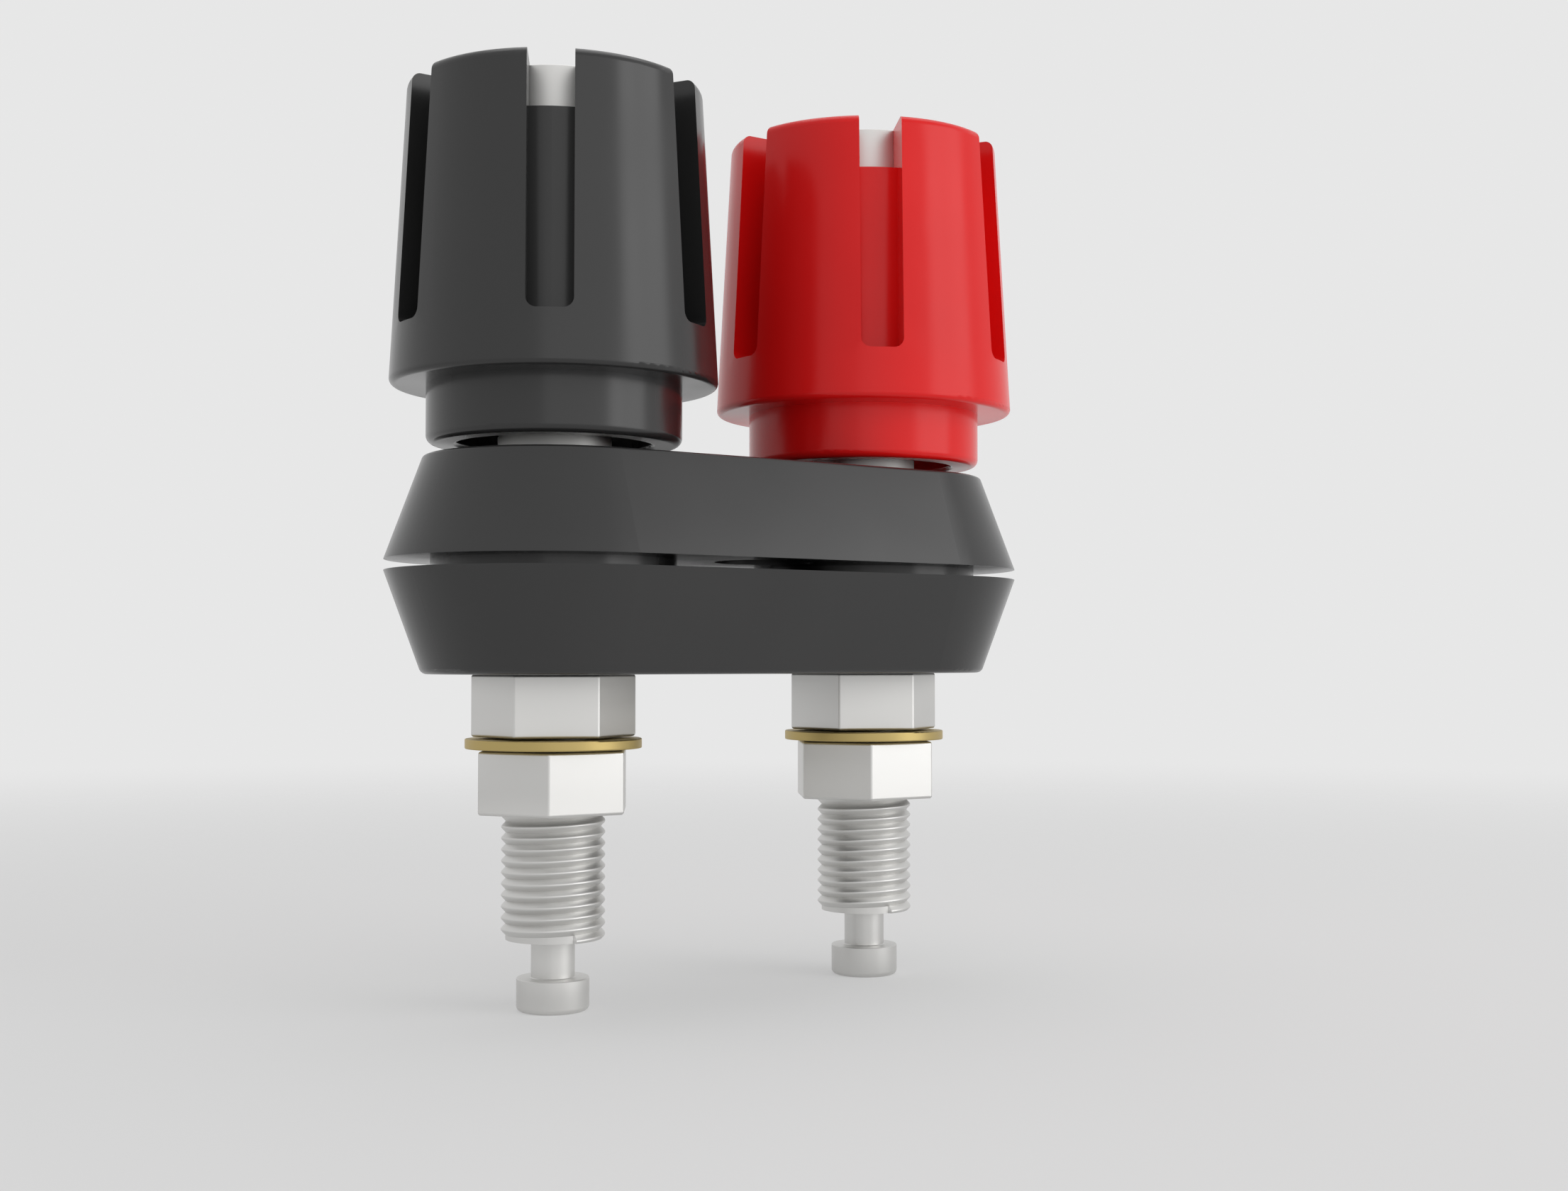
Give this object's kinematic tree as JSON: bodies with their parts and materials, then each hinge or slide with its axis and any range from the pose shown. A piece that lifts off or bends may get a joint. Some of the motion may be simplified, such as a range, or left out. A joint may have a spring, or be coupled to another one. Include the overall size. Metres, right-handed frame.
{
  "type": "binding post",
  "caption": "Black and red binding posts side by side on tapered insulators, with captive fluted knobs, plug sockets, nuts, washers and solder turrets.",
  "frame": {"origin": "midway between the two posts on the front face of the panel, where the upper insulator seats", "axes": "+Z along the posts, out of the panel towards the knobs; +X from the black post to the red post"},
  "size_m": [0.0354, 0.0164, 0.0451],
  "materials": {
    "insulator_plastic": "smooth moulded, gloss",
    "black_plastic": "smooth moulded, gloss",
    "red_plastic": "smooth moulded, gloss",
    "nickel": "bright nickel plate on turned brass",
    "brass": "plain rolled brass",
    "spring_steel": "bright spring steel"
  },
  "bodies": {
    "fixed": {"upper_insulator": "insulator_plastic", "lower_insulator": "insulator_plastic", "black_stud": "nickel", "black_retaining_ring": "spring_steel", "black_mounting_nut": "nickel", "red_stud": "nickel", "red_retaining_ring": "spring_steel", "red_mounting_nut": "nickel"},
    "black_clamp": {"black_clamp_washer": "nickel"},
    "black_knob": {"black_knob_cap": "black_plastic", "black_knob_insert": "nickel"},
    "black_lead_washer": {"black_terminal_washer": "brass"},
    "black_lead_nut": {"black_terminal_nut": "nickel"},
    "red_clamp": {"red_clamp_washer": "nickel"},
    "red_knob": {"red_knob_cap": "red_plastic", "red_knob_insert": "nickel"},
    "red_lead_washer": {"red_terminal_washer": "brass"},
    "red_lead_nut": {"red_terminal_nut": "nickel"}
  },
  "joints": [
    {"name": "black_clamp_slide", "type": "slide", "parent": "fixed", "child": "black_clamp", "axis": [0, 0, 1], "range_m": [-0.0006, 0.0039]},
    {"name": "black_knob_turn", "type": "hinge", "parent": "black_clamp", "child": "black_knob", "pos_m": [-0.00953, 0, 0], "axis": [0, 0, 1], "range_deg": [-288.01, 1872.01]},
    {"name": "black_washer_slide", "type": "slide", "parent": "fixed", "child": "black_lead_washer", "axis": [0, 0, -1], "range_m": [0, 0.0055]},
    {"name": "black_nut_turn", "type": "hinge", "parent": "black_lead_washer", "child": "black_lead_nut", "pos_m": [-0.00953, 0, 0], "axis": [0, 0, -1], "range_deg": [0, 3600.01]},
    {"name": "red_clamp_slide", "type": "slide", "parent": "fixed", "child": "red_clamp", "axis": [0, 0, 1], "range_m": [-0.0006, 0.0039]},
    {"name": "red_knob_turn", "type": "hinge", "parent": "red_clamp", "child": "red_knob", "pos_m": [0.00953, 0, 0], "axis": [0, 0, 1], "range_deg": [-288.01, 1872.01]},
    {"name": "red_washer_slide", "type": "slide", "parent": "fixed", "child": "red_lead_washer", "axis": [0, 0, -1], "range_m": [0, 0.0055]},
    {"name": "red_nut_turn", "type": "hinge", "parent": "red_lead_washer", "child": "red_lead_nut", "pos_m": [0.00953, 0, 0], "axis": [0, 0, -1], "range_deg": [0, 3600.01]}
  ],
  "couplings": [
    {"joint": "black_knob_turn", "follows": "black_clamp_slide", "rad_per_m": 8377.6},
    {"joint": "black_nut_turn", "follows": "black_washer_slide", "rad_per_m": 11424},
    {"joint": "red_knob_turn", "follows": "red_clamp_slide", "rad_per_m": 8377.6},
    {"joint": "red_nut_turn", "follows": "red_washer_slide", "rad_per_m": 11424}
  ]
}
